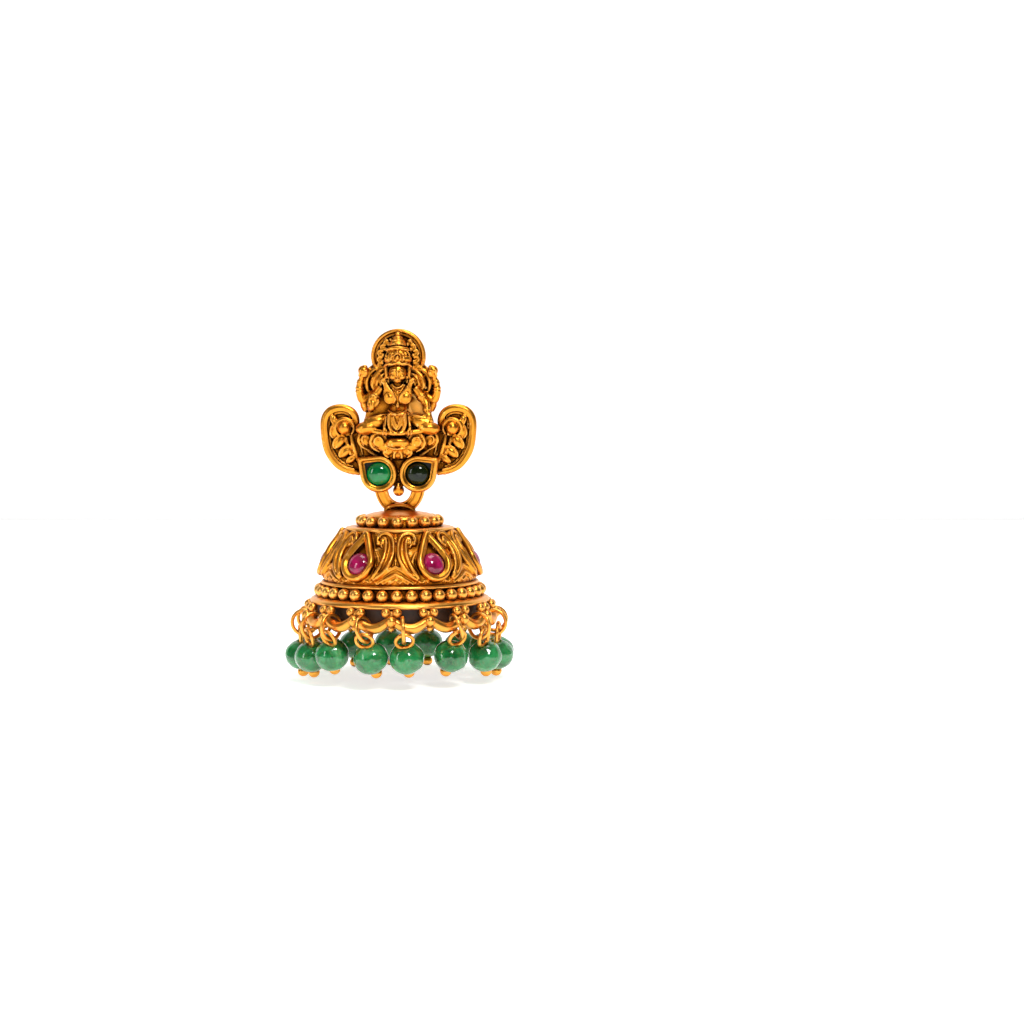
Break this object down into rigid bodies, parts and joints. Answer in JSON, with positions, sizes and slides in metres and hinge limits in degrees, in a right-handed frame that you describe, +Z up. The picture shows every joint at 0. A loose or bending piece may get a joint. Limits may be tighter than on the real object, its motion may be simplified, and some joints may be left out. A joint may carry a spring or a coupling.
{
  "type": "jhumka earring",
  "caption": "Antique gold jhumka earring: a stud with a seated figure, scroll wings and green stones, and a domed bell with red stones and a fringe of green beads.",
  "frame": {"origin": "root of the ear post on the flat back of the stud, where the earring is held up", "axes": "+Z up, -Y out of the front of the stud towards the viewer, +X to the viewer's right"},
  "size_m": [0.0304, 0.0299, 0.0464],
  "materials": {
    "antique_gold": "antique, darkened in the recesses",
    "emerald": "polished cabochon",
    "dark_emerald": "polished cabochon",
    "ruby": "polished cabochon",
    "jade": "mottled and glossy"
  },
  "bodies": {
    "stud": {"stud_casting": "antique_gold", "ear_post": "antique_gold", "green_stone_left": "emerald", "green_stone_right": "dark_emerald"},
    "bell": {"bell": "antique_gold", "ruby_stone_1": "ruby", "ruby_stone_2": "ruby", "ruby_stone_3": "ruby", "ruby_stone_4": "ruby", "ruby_stone_5": "ruby", "ruby_stone_6": "ruby", "jump_ring_01": "antique_gold", "jump_ring_02": "antique_gold", "jump_ring_03": "antique_gold", "jump_ring_04": "antique_gold", "jump_ring_05": "antique_gold", "jump_ring_06": "antique_gold", "jump_ring_07": "antique_gold", "jump_ring_08": "antique_gold", "jump_ring_09": "antique_gold", "jump_ring_10": "antique_gold", "jump_ring_11": "antique_gold", "jump_ring_12": "antique_gold", "jump_ring_13": "antique_gold", "jump_ring_14": "antique_gold", "jump_ring_15": "antique_gold", "jump_ring_16": "antique_gold", "bead_drop_01": "jade", "bead_drop_02": "jade", "bead_drop_03": "jade", "bead_drop_04": "jade", "bead_drop_05": "jade", "bead_drop_06": "jade", "bead_drop_07": "jade", "bead_drop_08": "jade", "bead_drop_09": "jade", "bead_drop_10": "jade", "bead_drop_11": "jade", "bead_drop_12": "jade", "bead_drop_13": "jade", "bead_drop_14": "jade", "bead_drop_15": "jade", "bead_drop_16": "jade"}
  },
  "joints": [
    {"name": "bell_swing", "type": "hinge", "parent": "stud", "child": "bell", "pos_m": [0, 0.0012, -0.0072], "axis": [1, 0, 0], "range_deg": [-20, 45]}
  ]
}
